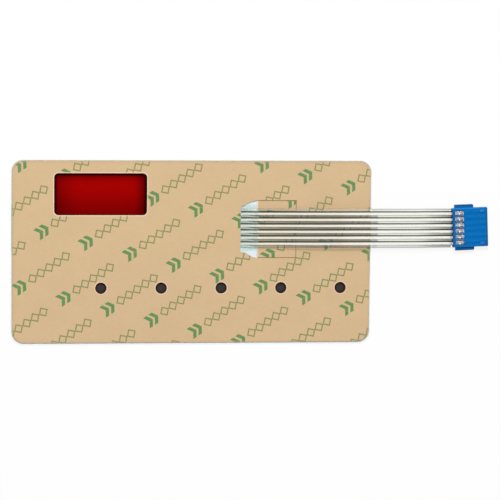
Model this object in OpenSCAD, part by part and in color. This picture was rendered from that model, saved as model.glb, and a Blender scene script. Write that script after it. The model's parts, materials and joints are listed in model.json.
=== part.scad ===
// Membrane keypad with a tinted display window, five tactile keys and a flat film tail.
// It lies on its face: z = 0 is the front of the graphic overlay and +Z leaves the adhesive back.
// +X runs along the width towards the tail's connector, +Y towards the display window's edge.
// The origin is the centre of the overlay's front face.

/* [Panel] */
// Width of the panel
panel_w = 152.2; // [146:0.1:180]
// Height of the panel
panel_h = 77.5; // [70:0.1:100]
// Corner radius of the panel
panel_corner_r = 5; // [2:0.1:8]

/* [Layers] */
// Thickness of the graphic overlay
overlay_t = 0.25; // [0.15:0.01:0.4]
// Thickness of the adhesive behind the overlay
overlay_glue_t = 0.1; // [0.06:0.01:0.2]
// Thickness of the film that holds the domes
retainer_t = 0.1; // [0.06:0.01:0.2]
// Thickness of the circuit film and its tail
circuit_t = 0.125; // [0.075:0.005:0.2]
// Thickness of the printed silver
ink_t = 0.02; // [0.01:0.005:0.04]
// Thickness of the mounting adhesive
rear_glue_t = 0.13; // [0.05:0.01:0.25]
// Thickness of the paper release liner
liner_t = 0.11; // [0.06:0.01:0.2]
// How far the liner stops short of the panel's edge
liner_inset = 0.5; // [0:0.05:0.8]
// How much further the mounting adhesive and liner are cut back round the window
cut_step = 0.2; // [0.05:0.05:0.5]

/* [Display window] */
// Width of the window in the inner layers
window_w = 38.3; // [30:0.1:44]
// Height of the window in the inner layers
window_h = 17; // [12:0.1:19]
// Corner radius of the window
window_corner_r = 1.5; // [0.5:0.1:3]
// Distance from the panel's left end to the window's centre
window_from_left = 37.4; // [33:0.1:42]
// Distance from the panel's upper edge to the window's centre
window_from_top = 14.3; // [13:0.1:18]
// How far the tinted filter reaches under the frame of the window
filter_margin = 1.6; // [0.8:0.1:2.2]
// Play round the filter and behind it
filter_play = 0.02; // [0.01:0.01:0.04]

/* [Keys] */
// Number of keys, each with an indicator hole
key_count = 5; // [3:1:5]
// Distance from key to key
key_pitch = 25.4; // [22:0.1:25.8]
// Distance from the panel's left end to the first key
key_from_left = 37.6; // [35:0.1:39]
// Distance from the panel's lower edge to the centre line of the keys
key_from_bottom = 11.8; // [10:0.1:12.5]
// Distance from the keys to their indicator holes
led_above_key = 11.8; // [11.6:0.1:14]
// Diameter of an indicator hole
led_d = 4.6; // [3:0.1:4.8]
// Diameter of a snap dome
dome_d = 10; // [7:0.1:10.2]
// Height of a snap dome
dome_h = 0.42; // [0.3:0.01:0.6]
// Thickness of the dome's steel
dome_steel_t = 0.06; // [0.04:0.01:0.1]
// Play round a dome in its pocket
dome_play = 0.3; // [0.1:0.05:0.5]
// Width of the air channel between pockets
vent_w = 1.2; // [0.6:0.1:2]

/* [Tail] */
// Distance from the panel's upper edge to the tail's centre line
tail_from_top = 28.45; // [27:0.05:30]
// Distance from the panel's right end to where the tail leaves the circuit film
tail_from_right = 55.7; // [51:0.1:58]
// Distance from conductor to conductor
conductor_pitch = 2.54; // [2.4:0.01:2.6]
// Width of a conductor on the tail
conductor_w = 1.6; // [1:0.05:1.7]
// Clear film beside the outer conductors
tail_margin = 1.2; // [1:0.05:2]
// Width of the slit on each side of the tail
slit_w = 0.6; // [0.3:0.1:1]
// Gap between the patch and the tail's printed face
tail_lift = 0.6; // [0.1:0.1:1.2]
// Gap between the liner and the tail's printed face at its crest
tail_crest = 1.6; // [0.6:0.1:3]
// Reach of the tail from the panel's edge to its connector
tail_reach = 34.9; // [25:0.1:60]

/* [Tail opening] */
// How far the opening's centre lies below the tail's
opening_drop = 0.55; // [0:0.05:1]
// Length of the opening that stays uncovered
opening_clear_l = 7; // [6:0.1:10]
// Length of the patch under the tail
patch_l = 16.6; // [12:0.1:20]
// Height of the patch under the tail
patch_h = 24.1; // [23:0.1:25]
// Gap cut round the patch
patch_gap = 0.15; // [0.05:0.05:0.3]

/* [Connector] */
// Length of the housing
housing_l = 15.2; // [14:0.1:18]
// Height of the housing
housing_h = 2.8; // [2.6:0.1:3.4]
// Side wall outside the outer contacts
housing_side = 0.73; // [0.65:0.01:1.2]
// Length of the bar across the film at the housing's rear
rear_bar_l = 1.25; // [1:0.05:2]
// Length of the windows over the crimps
crimp_window_l = 3.7; // [3.5:0.1:4.2]
// Width of the ribs between those windows
window_rib_w = 0.5; // [0.4:0.05:0.7]
// Wall at the mating face
front_wall_t = 0.8; // [0.6:0.1:1.2]
// Length of the wings at the housing's sides
wing_l = 8.1; // [6:0.1:9]
// Reach of each wing
wing_w = 1.4; // [0.8:0.1:2]
// Height of the wings
wing_h = 1.7; // [1:0.1:2.2]
// Distance from the housing's rear face to the wings
wing_setback = 1.2; // [0.5:0.05:1.5]
// Side of the square socket in each contact
socket_s = 1.2; // [1:0.05:1.3]
// Thickness of the contact's strip
strip_t = 0.2; // [0.15:0.01:0.22]
// Play round a contact in its cavity
contact_play = 0.05; // [0.02:0.01:0.08]
// Side of the hole for a header pin
pin_hole_s = 1; // [0.8:0.05:1.1]
// Turn of the connector on the tail, in degrees
connector_skew = 2.4; // [-2.5:0.1:2.5]

/* [Hidden] */
$fn = 64;
eps = 0.01;
bend_steps = 12;
print_gap = 0.004;

// Heights of the layers, from the front face up
overlay_glue_z = overlay_t;
retainer_z = overlay_glue_z + overlay_glue_t;
spacer_z = retainer_z + retainer_t;
spacer_t = dome_h;
ink_z = spacer_z + spacer_t;
circuit_z = ink_z + ink_t;
rear_glue_z = circuit_z + circuit_t;
liner_z = rear_glue_z + rear_glue_t;
liner_top = liner_z + liner_t;

// Places along X and centre lines along Y
window_x = window_from_left - panel_w / 2;
first_key_x = key_from_left - panel_w / 2;
tail_root_x = panel_w / 2 - tail_from_right;
window_y = panel_h / 2 - window_from_top;
key_y = key_from_bottom - panel_h / 2;
led_y = key_y + led_above_key;
tail_y = panel_h / 2 - tail_from_top;

// Keys, indicators and their pads
key_xs = [for (i = [0:key_count - 1]) first_key_x + i * key_pitch];
pocket_r = dome_d / 2 + dome_play;
centre_pad_r = 1.5;
ring_out_r = dome_d / 2;
ring_w = 1.1;
ring_in_r = ring_out_r - ring_w;
ring_gap_w = 2.2;
side_cut_r = 4;
side_cut_d = 1;

// Conductors: one for each key and one common to all
conductor_count = key_count + 1;
conductor_span = (conductor_count - 1) * conductor_pitch;
tail_w = conductor_span + conductor_w + 2 * tail_margin;
conductor_offsets = [for (j = [0:conductor_count - 1]) conductor_span / 2 - j * conductor_pitch];
conductor_ys = [for (offset = conductor_offsets) tail_y + offset];
trace_w = 0.6;
bundle_pitch = 1.6;
run_pitch = 1;
keys_on_left = floor(key_count / 2);
bundle_x = (key_xs[keys_on_left - 1] + key_xs[keys_on_left]) / 2;
bundle_xs = [
    for (j = [0:conductor_count - 1]) bundle_x + (j - (conductor_count - 1) / 2) * bundle_pitch
];
common_at = keys_on_left;
run_gap = 1;
bus_gap = 1.2;
first_run_y = led_y - led_d / 2 - run_gap;
bus_y = key_y - ring_out_r - bus_gap;

// The tail's opening in the adhesive and liner, with its corners trimmed at the tail's root
root_cover = 0.1;
opening_x = tail_root_x - root_cover;
opening_y = tail_y - opening_drop;
opening_l = opening_clear_l + patch_l + patch_gap;
opening_h = patch_h + 2 * patch_gap;
upper_trim = [[0, 2.9], [4, 0.8]];
lower_trim = [[0, 2.7], [2.7, 2], [5.1, 0.3]];

// Connector, from the rear face of its housing
housing_x = panel_w / 2 + tail_reach;
housing_w = conductor_count * conductor_pitch + 2 * housing_side;
socket_out = socket_s + 2 * strip_t;
cavity_s = socket_out + 2 * contact_play;
cavity_z = (housing_h - cavity_s) / 2;
contact_z = cavity_z + contact_play;
crimp_drop = 0.5;
crimp_z = cavity_z + cavity_s - crimp_drop;
crimp_end_gap = 0.15;
crimp_l = crimp_window_l - 2 * crimp_end_gap;
crimp_x = rear_bar_l + crimp_end_gap;
crimp_window_w = conductor_pitch - window_rib_w;
crimp_side_gap = 0.145;
crimp_w = crimp_window_w - 2 * crimp_side_gap;
tine_l = 1.3;
tine_pitch = 1.8;
tine_xs = [for (side = [-1, 1]) crimp_x + (crimp_l + side * tine_pitch - tine_l) / 2];
tine_ring_r = 0.36;
tine_play = 0.03;
neck_l = 1.2;
neck_w = 0.9;
spring_w = 0.8;
spring_t = 0.12;
spring_bow = 0.3;
spring_inset = 0.4;
lead_in = 0.3;
edge_chamfer = 0.35;
ramp_l = 1.7;
ramp_w = 1;
ramp_h = 0.36;
ramp_back = 0.12;
ramp_setback = 2.6;
ramp_from_side = 1.5;
chamber_wall_t = 0.55;
end_margin = 0.2;
neck_reach = 0.6;
socket_x = crimp_x + crimp_l + neck_l;
socket_l = housing_l - front_wall_t - contact_play - socket_x;
chamber_l = rear_bar_l + crimp_window_l;
chamber_w = housing_w - 2 * chamber_wall_t;
tail_end_w = conductor_span + conductor_w + 2 * end_margin;

// Heights of the tail's film along X
patch_z = liner_top + ink_t + tail_lift;
crest_z = liner_top + ink_t + tail_crest;
end_z = crimp_z + strip_t + ink_t;
root_lap = 0.5;
climb_x = opening_x + opening_clear_l;
rise_gap = 0.3;
rise_x = tail_root_x + rise_gap;
rise_l = climb_x - rise_x - rise_gap;
climb_l = 32;
drop_l = 15;
drop_gap = 3;
drop_x = housing_x - drop_l - drop_gap;
film_overrun = 0.1;
tail_end_x = housing_x + chamber_l + film_overrun;

// Shared outlines

module rounded_rect(w, h, r) {
    square([w, h - 2 * r], center = true);
    square([w - 2 * r, h], center = true);
    for (x = [-1, 1], y = [-1, 1])
        translate([x * (w / 2 - r), y * (h / 2 - r)])
            circle(r);
}

module panel_outline(inset = 0) {
    rounded_rect(panel_w - 2 * inset, panel_h - 2 * inset, panel_corner_r);
}

module window_outline(grow = 0) {
    translate([window_x, window_y])
        rounded_rect(window_w + 2 * grow, window_h + 2 * grow, window_corner_r + grow);
}

module led_holes() {
    for (x = key_xs)
        translate([x, led_y])
            circle(led_d / 2);
}

module tail_opening() {
    half = opening_h / 2;
    upper = [for (cut = upper_trim) [cut[0], half - cut[1]]];
    lower = [for (i = [len(lower_trim) - 1:-1:0]) [lower_trim[i][0], lower_trim[i][1] - half]];
    right = [[opening_clear_l, half], [opening_l, half], [opening_l, -half], [opening_clear_l, -half]];
    translate([opening_x, opening_y])
        polygon(concat(upper, right, lower));
}

module patch_outline() {
    translate([opening_x + opening_clear_l, opening_y - patch_h / 2])
        square([patch_l, patch_h]);
}

// A full sheet of the stack with the window and indicator openings cut through it
module sheet(z, t, inset = 0, grow = 0) {
    translate([0, 0, z])
        linear_extrude(t)
            difference() {
                panel_outline(inset);
                window_outline(grow);
                led_holes();
                children();
            }
}

// The tail's height and section along X

function ease(s) = (1 - cos(180 * min(1, max(0, s)))) / 2;
function tail_z(x) = circuit_z
    + (patch_z - circuit_z) * ease((x - rise_x) / rise_l)
    + (crest_z - patch_z) * ease((x - climb_x) / climb_l)
    + (end_z - crest_z) * ease((x - drop_x) / drop_l);
tail_xs = concat(
    [tail_root_x - root_lap],
    [for (i = [0:bend_steps]) rise_x + rise_l * i / bend_steps],
    [for (i = [0:bend_steps]) climb_x + climb_l * i / bend_steps],
    [for (i = [0:bend_steps]) drop_x + drop_l * i / bend_steps],
    [tail_end_x]
);

// A strip of the tail from one height above the film's lower face to another
module tail_strip(from, to, w) {
    low = [for (x = tail_xs) [x, tail_z(x) + from]];
    high = [for (i = [len(tail_xs) - 1:-1:0]) [tail_xs[i], tail_z(tail_xs[i]) + to]];
    translate([0, w / 2, 0])
        rotate([90, 0, 0])
            linear_extrude(w)
                polygon(concat(low, high));
}

// Sheets

module graphic_overlay() {
    color("#26262a")
        linear_extrude(overlay_t)
            panel_outline();
}

module display_filter() {
    color("#8e0306")
        translate([0, 0, overlay_glue_z])
            linear_extrude(overlay_glue_t + retainer_t - filter_play)
                window_outline(filter_margin);
}

module overlay_adhesive() {
    color("#e9e6da")
        sheet(overlay_glue_z, overlay_glue_t)
            window_outline(filter_margin + filter_play);
}

module dome_retainer() {
    color("#dfe9ea")
        sheet(retainer_z, retainer_t)
            window_outline(filter_margin + filter_play);
}

module dome_spacer() {
    color("#f1f3f2")
        sheet(spacer_z, spacer_t) {
            for (x = key_xs)
                translate([x, key_y])
                    circle(pocket_r);
            translate([key_xs[0], key_y - vent_w / 2])
                square([key_xs[key_count - 1] - key_xs[0], vent_w]);
        }
}

// Four-legged steel dome, its legs on the printed ring and its crown towards the overlay
module snap_dome(x) {
    rim_r = dome_d / 2;
    ball_r = (rim_r * rim_r + dome_h * dome_h) / (2 * dome_h);
    radii = [for (i = [0:bend_steps]) rim_r * i / bend_steps];
    crown = [for (r = radii) [r, ball_r - sqrt(ball_r * ball_r - r * r)]];
    inside = [for (i = [bend_steps:-1:0]) crown[i] + [0, dome_steel_t]];
    color("#b9bcbf")
        translate([x, key_y, spacer_z])
            intersection() {
                rotate_extrude()
                    polygon(concat(crown, inside));
                linear_extrude(dome_h)
                    difference() {
                        square(dome_d, center = true);
                        for (a = [0:90:270])
                            rotate(a)
                                translate([rim_r + side_cut_r - side_cut_d, 0])
                                    circle(side_cut_r);
                    }
            }
}

// Circuit film with the tail that is slit out of it
module lower_circuit() {
    color("#d5e6e6")
        difference() {
            union() {
                sheet(circuit_z, circuit_t)
                    tail_channel();
                translate([0, tail_y, 0])
                    tail_strip(0, circuit_t, tail_w);
            }
            tail_neck_notches();
            tine_slots();
        }
}

// The strip of film that the tail takes out of the sheet, its two slits ended in round reliefs
module tail_channel() {
    translate([tail_root_x, tail_y - tail_w / 2 - slit_w])
        square([panel_w, tail_w + 2 * slit_w]);
    for (side = [-1, 1])
        translate([tail_root_x, tail_y + side * (tail_w + slit_w) / 2])
            circle(slit_w / 2);
}

// The tail is cut narrower where it enters the housing
module tail_neck_notches() {
    for (side = [-1, 1])
        translate([housing_x - neck_reach, tail_y + (side * (tail_end_w + tail_w) - tail_w) / 2])
            cube([housing_l, tail_w, housing_h]);
}

// Holes that the crimp tines pierce in the film and the silver
module tine_slots() {
    at_connector()
        for (offset = conductor_offsets, side = [-1, 1], x = tine_xs)
            translate([x + tine_l / 2, offset + side * (crimp_w - strip_t) / 2, housing_h / 2])
                cube([tine_l + 2 * tine_play, strip_t + 2 * tine_play, housing_h], center = true);
}

// The connector's own frame: the middle of its rear face, turned as it was crimped on
module at_connector() {
    translate([housing_x, tail_y, 0])
        rotate([0, 0, connector_skew])
            children();
}

// Silver conductors

module trace(a, b) {
    translate([min(a[0], b[0]) - trace_w / 2, min(a[1], b[1]) - trace_w / 2])
        square([abs(a[0] - b[0]) + trace_w, abs(a[1] - b[1]) + trace_w]);
}

module route(points) {
    for (i = [1:len(points) - 1])
        trace(points[i - 1], points[i]);
}

// From the tail's root to the centre pad of one key
module key_route(j, key, run) {
    run_y = first_run_y - run * run_pitch;
    route([
        [tail_root_x, conductor_ys[j]],
        [bundle_xs[j], conductor_ys[j]],
        [bundle_xs[j], run_y],
        [key_xs[key], run_y],
        [key_xs[key], key_y]
    ]);
    translate([key_xs[key], key_y])
        circle(centre_pad_r);
}

// From the tail's root to the open rings under every dome
module common_route() {
    route([
        [tail_root_x, conductor_ys[common_at]],
        [bundle_xs[common_at], conductor_ys[common_at]],
        [bundle_xs[common_at], bus_y],
    ]);
    route([[key_xs[0], bus_y], [key_xs[key_count - 1], bus_y]]);
    for (x = key_xs) {
        route([[x, bus_y], [x, key_y - ring_out_r + trace_w]]);
        translate([x, key_y])
            difference() {
                circle(ring_out_r);
                circle(ring_in_r);
                translate([-ring_gap_w / 2, 0])
                    square([ring_gap_w, dome_d]);
            }
    }
}

module silver_conductors() {
    color("#e4e4de")
        difference() {
            union() {
                translate([0, 0, ink_z])
                    linear_extrude(ink_t - print_gap) {
                        common_route();
                        for (j = [0:conductor_count - 1])
                            if (j < common_at)
                                key_route(j, j, j);
                            else if (j > common_at)
                                key_route(j, j - 1, conductor_count - 1 - j);
                    }
                for (y = conductor_ys)
                    translate([0, y, 0])
                        tail_strip(-ink_t, -print_gap, conductor_w);
            }
            tine_slots();
        }
}

// Mounting adhesive, its liner and the patch left under the tail

module rear_adhesive() {
    color("#e8e2cf")
        sheet(rear_glue_z, rear_glue_t, liner_inset, cut_step)
            tail_opening();
}

module release_liner() {
    color("#dbbf92")
        sheet(liner_z, liner_t, liner_inset, cut_step)
            tail_opening();
}

module patch_adhesive() {
    color("#e8e2cf")
        translate([0, 0, rear_glue_z])
            linear_extrude(rear_glue_t)
                patch_outline();
}

module patch_liner() {
    color("#dfc497")
        translate([0, 0, liner_z])
            linear_extrude(liner_t)
                patch_outline();
}

// Connector

module connector_housing() {
    color("#0d63b3")
        at_connector() {
            difference() {
                union() {
                    translate([0, -housing_w / 2, 0])
                        cube([housing_l, housing_w, housing_h]);
                    linear_extrude(wing_h)
                        wing_outline();
                }
                translate([-eps, -chamber_w / 2, cavity_z])
                    cube([chamber_l + neck_l / 2 + eps, chamber_w, cavity_s]);
                for (offset = conductor_offsets)
                    translate([0, offset, 0])
                        contact_space();
                housing_edges();
            }
            front_ramps();
        }
}

module wing_outline() {
    side = housing_w / 2 + wing_w;
    front = wing_setback + wing_l;
    for (flip = [0, 1])
        mirror([0, flip])
            polygon([
                [wing_setback, 0],
                [front, 0],
                [front, side - edge_chamfer],
                [front - edge_chamfer, side],
                [wing_setback, side]
            ]);
}

// Chamfers round the mating face and along the top
module housing_edges() {
    cut = edge_chamfer * sqrt(2);
    for (z = [0, housing_h])
        translate([housing_l, 0, z])
            rotate([0, 45, 0])
                cube([cut, 2 * housing_w, cut], center = true);
    for (side = [-1, 1]) {
        translate([housing_l, side * housing_w / 2, 0])
            rotate([0, 0, 45])
                cube([cut, cut, 3 * housing_h], center = true);
        translate([0, side * housing_w / 2, housing_h])
            rotate([45, 0, 0])
                cube([3 * housing_l, cut, cut], center = true);
    }
}

// Two small ramps over the outer contacts near the mating face
module front_ramps() {
    half = ramp_w / 2;
    profile = [[-half, -eps], [half, -eps], [half, 0], [ramp_back - half, ramp_h], [-half, 0]];
    for (side = [-1, 1])
        translate([housing_l - ramp_setback, side * (housing_w / 2 - ramp_from_side), housing_h])
            rotate([90, 0, 90])
                linear_extrude(ramp_l, center = true)
                    polygon(profile);
}

// Cavity, crimp window and pin hole of one contact
module contact_space() {
    translate([chamber_l, -cavity_s / 2, cavity_z])
        cube([housing_l - front_wall_t - chamber_l, cavity_s, cavity_s]);
    translate([rear_bar_l, -crimp_window_w / 2, cavity_z + cavity_s / 2])
        cube([crimp_window_l, crimp_window_w, housing_h]);
    translate([chamber_l, -pin_hole_s / 2, (housing_h - pin_hole_s) / 2])
        cube([housing_l, pin_hole_s, pin_hole_s]);
    translate([housing_l, 0, housing_h / 2])
        pin_funnel();
}

// Square lead-in that widens towards the mating face
module pin_funnel() {
    inner = pin_hole_s / 2;
    outer = inner + lead_in + eps;
    profile = [[-lead_in, -inner], [eps, -outer], [eps, outer], [-lead_in, inner]];
    intersection() {
        linear_extrude(housing_h, center = true)
            polygon(profile);
        rotate([90, 0, 0])
            linear_extrude(housing_h, center = true)
                polygon(profile);
    }
}

// Strip contact: two pairs of curled tines grip the film, a square socket takes the pin
module crimp_contact(offset) {
    color("#cfd2d4")
        at_connector()
            translate([0, offset, 0]) {
                translate([crimp_x, -crimp_w / 2, crimp_z])
                    cube([crimp_l, crimp_w, strip_t]);
                for (x = tine_xs)
                    translate([x, 0, crimp_z])
                        tine_pair();
                contact_neck();
                contact_socket();
                contact_spring();
            }
}

// Two tines that rise through the film and curl back down on it
module tine_pair() {
    rise = strip_t + ink_t + circuit_t + tine_play;
    for (side = [0, 1])
        mirror([0, side, 0])
            rotate([90, 0, 90])
                linear_extrude(tine_l) {
                    translate([crimp_w / 2 - strip_t, 0])
                        square([strip_t, rise]);
                    translate([crimp_w / 2 - tine_ring_r, rise])
                        intersection() {
                            difference() {
                                circle(tine_ring_r);
                                circle(tine_ring_r - strip_t);
                            }
                            translate([-tine_ring_r, 0])
                                square([2 * tine_ring_r, tine_ring_r]);
                        }
                }
}

// Strip that steps down from the crimp to the floor of the socket
module contact_neck() {
    step_x = crimp_x + crimp_l + neck_l / 2;
    half = strip_t / 2;
    side_view = [
        [crimp_x + crimp_l - eps, crimp_z],
        [step_x - half, crimp_z],
        [step_x - half, contact_z],
        [socket_x + eps, contact_z],
        [socket_x + eps, contact_z + strip_t],
        [step_x + half, contact_z + strip_t],
        [step_x + half, crimp_z + strip_t],
        [crimp_x + crimp_l - eps, crimp_z + strip_t]
    ];
    rotate([90, 0, 0])
        linear_extrude(neck_w, center = true)
            polygon(side_view);
}

module contact_socket() {
    translate([socket_x, 0, contact_z + socket_out / 2])
        rotate([90, 0, 90])
            linear_extrude(socket_l)
                difference() {
                    square(socket_out, center = true);
                    square(socket_s, center = true);
                }
}

// Bowed leaf that presses the pin against the socket's roof
module contact_spring() {
    from_x = socket_x + spring_inset;
    run = socket_l - 2 * spring_inset;
    floor_z = contact_z + strip_t - eps;
    steps = [for (i = [0:bend_steps]) i / bend_steps];
    lower = [for (t = steps) [from_x + run * t, floor_z + spring_bow * sin(180 * t)]];
    upper = [for (i = [bend_steps:-1:0]) lower[i] + [0, spring_t]];
    rotate([90, 0, 0])
        linear_extrude(spring_w, center = true)
            polygon(concat(lower, upper));
}

// Assembly

graphic_overlay();
display_filter();
overlay_adhesive();
dome_retainer();
dome_spacer();
for (i = [1:key_count])
    snap_dome(key_xs[i - 1]);
lower_circuit();
silver_conductors();
rear_adhesive();
release_liner();
patch_adhesive();
patch_liner();
connector_housing();
for (i = [1:conductor_count])
    crimp_contact(conductor_offsets[i - 1]);
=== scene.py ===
import json
import math

import bpy
from mathutils import Matrix, Vector


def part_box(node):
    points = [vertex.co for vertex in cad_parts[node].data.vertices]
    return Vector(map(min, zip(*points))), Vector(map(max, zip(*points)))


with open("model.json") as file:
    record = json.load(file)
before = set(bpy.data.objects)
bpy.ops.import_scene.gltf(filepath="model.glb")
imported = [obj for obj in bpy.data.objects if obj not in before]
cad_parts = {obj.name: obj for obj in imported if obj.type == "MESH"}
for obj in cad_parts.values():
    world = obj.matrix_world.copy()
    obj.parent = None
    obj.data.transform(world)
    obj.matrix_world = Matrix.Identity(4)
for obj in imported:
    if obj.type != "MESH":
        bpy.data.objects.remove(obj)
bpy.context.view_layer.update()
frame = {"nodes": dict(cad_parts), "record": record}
nodes = frame["nodes"]
mounts = frame["record"]["mounts"]
mm = 0.001
print("frame loaded:", len(nodes), "CAD nodes")


# values in a node tree that add, multiply and compare like numbers
class Wire:
    def __init__(self, tree, socket):
        self.tree = tree
        self.socket = socket

    def run(self, how, *others):
        node = self.tree.nodes.new("ShaderNodeMath")
        node.operation = how
        for value, place in zip((self, *others), node.inputs):
            plug(self.tree, value, place)
        return Wire(self.tree, node.outputs[0])

    def __add__(self, other):
        return self.run("ADD", other)

    def __sub__(self, other):
        return self.run("SUBTRACT", other)

    def __mul__(self, other):
        return self.run("MULTIPLY", other)

    def __truediv__(self, other):
        return self.run("DIVIDE", other)

    def size(self):
        return self.run("ABSOLUTE")

    def top(self, other):
        return self.run("MAXIMUM", other)

    def low(self, other):
        return self.run("MINIMUM", other)

    def nearest(self):
        return self.run("ROUND")

    # 0 before start, 1 after end and eased between them; start may be the larger
    def ramp(self, start, end):
        node = self.tree.nodes.new("ShaderNodeMapRange")
        node.interpolation_type = "SMOOTHSTEP"
        plug(self.tree, self, node.inputs["Value"])
        node.inputs["From Min"].default_value = start
        node.inputs["From Max"].default_value = end
        return Wire(self.tree, node.outputs["Result"])

    # 1 above an edge, or below it, blurred by soft to either side
    def above(self, edge, soft):
        return self.ramp(edge - soft, edge + soft)

    def below(self, edge, soft):
        return self.ramp(edge + soft, edge - soft)

    # least where this is 0, and more on top of it where this is 1
    def scaled(self, least, more):
        return self * more + least


def plug(tree, value, place):
    if isinstance(value, Wire):
        tree.links.new(value.socket, place)
    elif isinstance(value, (tuple, list)) and len(value) == 3 and place.type == "RGBA":
        place.default_value = (*value, 1.0)
    else:
        place.default_value = value


def newMaterial(name):
    material = bpy.data.materials.new(name)
    material.use_nodes = True
    material.node_tree.nodes.clear()
    return material, material.node_tree


# the place on the part, in millimetres of the shared frame
def placeOnPart(tree):
    coords = tree.nodes.new("ShaderNodeTexCoord")
    scale = tree.nodes.new("ShaderNodeVectorMath")
    scale.operation = "SCALE"
    scale.inputs["Scale"].default_value = 1 / mm
    tree.links.new(coords.outputs["Object"], scale.inputs[0])
    split = tree.nodes.new("ShaderNodeSeparateXYZ")
    tree.links.new(scale.outputs[0], split.inputs[0])
    return Wire(tree, scale.outputs[0]), [Wire(tree, split.outputs[i]) for i in range(3)]


midTones = (0.3, 0.7)   # the values that most of a noise lies between


# noise with a grain per millimetre for each axis
def grain(tree, place, perMm, detail=2.0, rough=0.5):
    stretch = tree.nodes.new("ShaderNodeVectorMath")
    stretch.operation = "MULTIPLY"
    plug(tree, place, stretch.inputs[0])
    stretch.inputs[1].default_value = perMm
    noise = tree.nodes.new("ShaderNodeTexNoise")
    tree.links.new(stretch.outputs[0], noise.inputs["Vector"])
    noise.inputs["Scale"].default_value = 1.0
    noise.inputs["Detail"].default_value = detail
    noise.inputs["Roughness"].default_value = rough
    return Wire(tree, noise.outputs[0])


def mixColor(tree, share, first, second):
    node = tree.nodes.new("ShaderNodeMix")
    node.data_type = "RGBA"
    plug(tree, share, node.inputs[0])
    plug(tree, first, node.inputs[6])
    plug(tree, second, node.inputs[7])
    return Wire(tree, node.outputs[2])


def bump(tree, height, depthMm, strength=1.0):
    node = tree.nodes.new("ShaderNodeBump")
    node.inputs["Strength"].default_value = strength
    node.inputs["Distance"].default_value = depthMm * mm
    plug(tree, height, node.inputs["Height"])
    return Wire(tree, node.outputs[0])


def plainShader(tree, kind, **sockets):
    shader = tree.nodes.new(kind)
    for name, value in sockets.items():
        plug(tree, value, shader.inputs[name.replace("_", " ")])
    return Wire(tree, shader.outputs[0])


def mixShader(tree, share, first, second):
    node = tree.nodes.new("ShaderNodeMixShader")
    plug(tree, share, node.inputs[0])
    plug(tree, first, node.inputs[1])
    plug(tree, second, node.inputs[2])
    return Wire(tree, node.outputs[0])


def showShader(tree, shader):
    output = tree.nodes.new("ShaderNodeOutputMaterial")
    plug(tree, shader, output.inputs["Surface"])


def principled(tree, **sockets):
    showShader(tree, plainShader(tree, "ShaderNodeBsdfPrincipled", **sockets))


def dress(material, *names):
    for name in names:
        piece = nodes[name]
        if not piece.material_slots:
            piece.data.materials.append(material)
        for slot in piece.material_slots:
            slot.material = material


# the long side over two sides at a right angle
def longSide(first, second):
    return (first.run("POWER", 2.0) + second.run("POWER", 2.0)).run("SQRT")


# distance to a rounded rectangle, below 0 inside it
def roundedRect(x, y, middle, half, radius):
    over = []
    for value, centre, reach in zip((x, y), middle, half):
        over.append((value - centre).size() - (reach - radius))
    outside = longSide(over[0].top(0.0), over[1].top(0.0))
    return outside + over[0].top(over[1]).low(0.0) - radius


# where a place lies beside the nearest of a row of marks, which are counted from 0 to last
def besideMark(along, pitch, last):
    index = (along / pitch).nearest().top(0.0).low(last)
    return along - index * pitch


# a node's middle and half size on the table, in mm
def flatBox(name):
    low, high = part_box(name)
    middle = [(high[axis] + low[axis]) / 2 / mm for axis in range(2)]
    half = [(high[axis] - low[axis]) / 2 / mm for axis in range(2)]
    return middle, half


# the row of indicator holes
lampHoles = [mount for mount in mounts if mount["name"].startswith("indicator_hole")]
lampSetup = {
    "first": lampHoles[0]["pos_m"][0] / mm,
    "pitch": (lampHoles[1]["pos_m"][0] - lampHoles[0]["pos_m"][0]) / mm,
    "last": len(lampHoles) - 1,
    "row": lampHoles[0]["pos_m"][1] / mm,
    "radius": lampHoles[0]["dims"]["r_mm"],
}


def besideLamp(x):
    return besideMark(x - lampSetup["first"], lampSetup["pitch"], lampSetup["last"])


def lampDistance(x, y):
    return longSide(besideLamp(x), y - lampSetup["row"]) - lampSetup["radius"]


contacts = [name for name in nodes if name.startswith("crimp_contact")]
panelHalf = flatBox("graphic_overlay")[1]
linerMiddle, linerHalf = flatBox("release_liner")
patchMiddle, patchHalf = flatBox("patch_liner")
windowMiddle, filterHalf = flatBox("display_filter")
patchSetup = {"corner": 0.02}
windowSetup = {
    "filterMargin": 1.6,    # mm of filter behind the window's edge
    "radius": 1.5,
    "cutBack": 0.2,         # mm that the layers behind the overlay are cut wider
}
windowHalf = [half - windowSetup["filterMargin"] for half in filterHalf]


def windowDistance(x, y):
    return roundedRect(x, y, windowMiddle, windowHalf, windowSetup["radius"])


# distances to the cut edges that the layers behind the overlay have
def toCuts(x, y):
    return lampDistance(x, y), windowDistance(x, y) - windowSetup["cutBack"]


# pairs of mm from a cut edge: where a mark along it starts, and where it is full
def cutMask(cuts, lampEdge, windowEdge):
    toLamp, toWindow = cuts
    return toLamp.ramp(*lampEdge).top(toWindow.ramp(*windowEdge))


def patchDistance(x, y):
    return roundedRect(x, y, patchMiddle, patchHalf, patchSetup["corner"])


# the patch's left edge lies open, with no paper beside it
def fromPatchLeft(x):
    return x - (patchMiddle[0] - patchHalf[0])


# the tail and the lines printed on it, which lean by the slope as far as the level place along X
tailSetup = {
    "pitch": 2.54,
    "conductor": 1.6,
    "margin": 1.2,
    "slit": 0.6,
    "fromRight": 55.7,
    "band": (-0.75, 0.305),     # mm across a conductor that look bright
    "level": 92.0,
    "slope": 0.003,
}
conductorHalf = tailSetup["conductor"] / 2
conductorReach = tailSetup["pitch"] * (len(contacts) - 1) / 2 + conductorHalf
tailHalf = conductorReach + tailSetup["margin"]
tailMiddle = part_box("silver_conductors")[1][1] / mm - conductorReach
tailRoot = panelHalf[0] - tailSetup["fromRight"]


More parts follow.
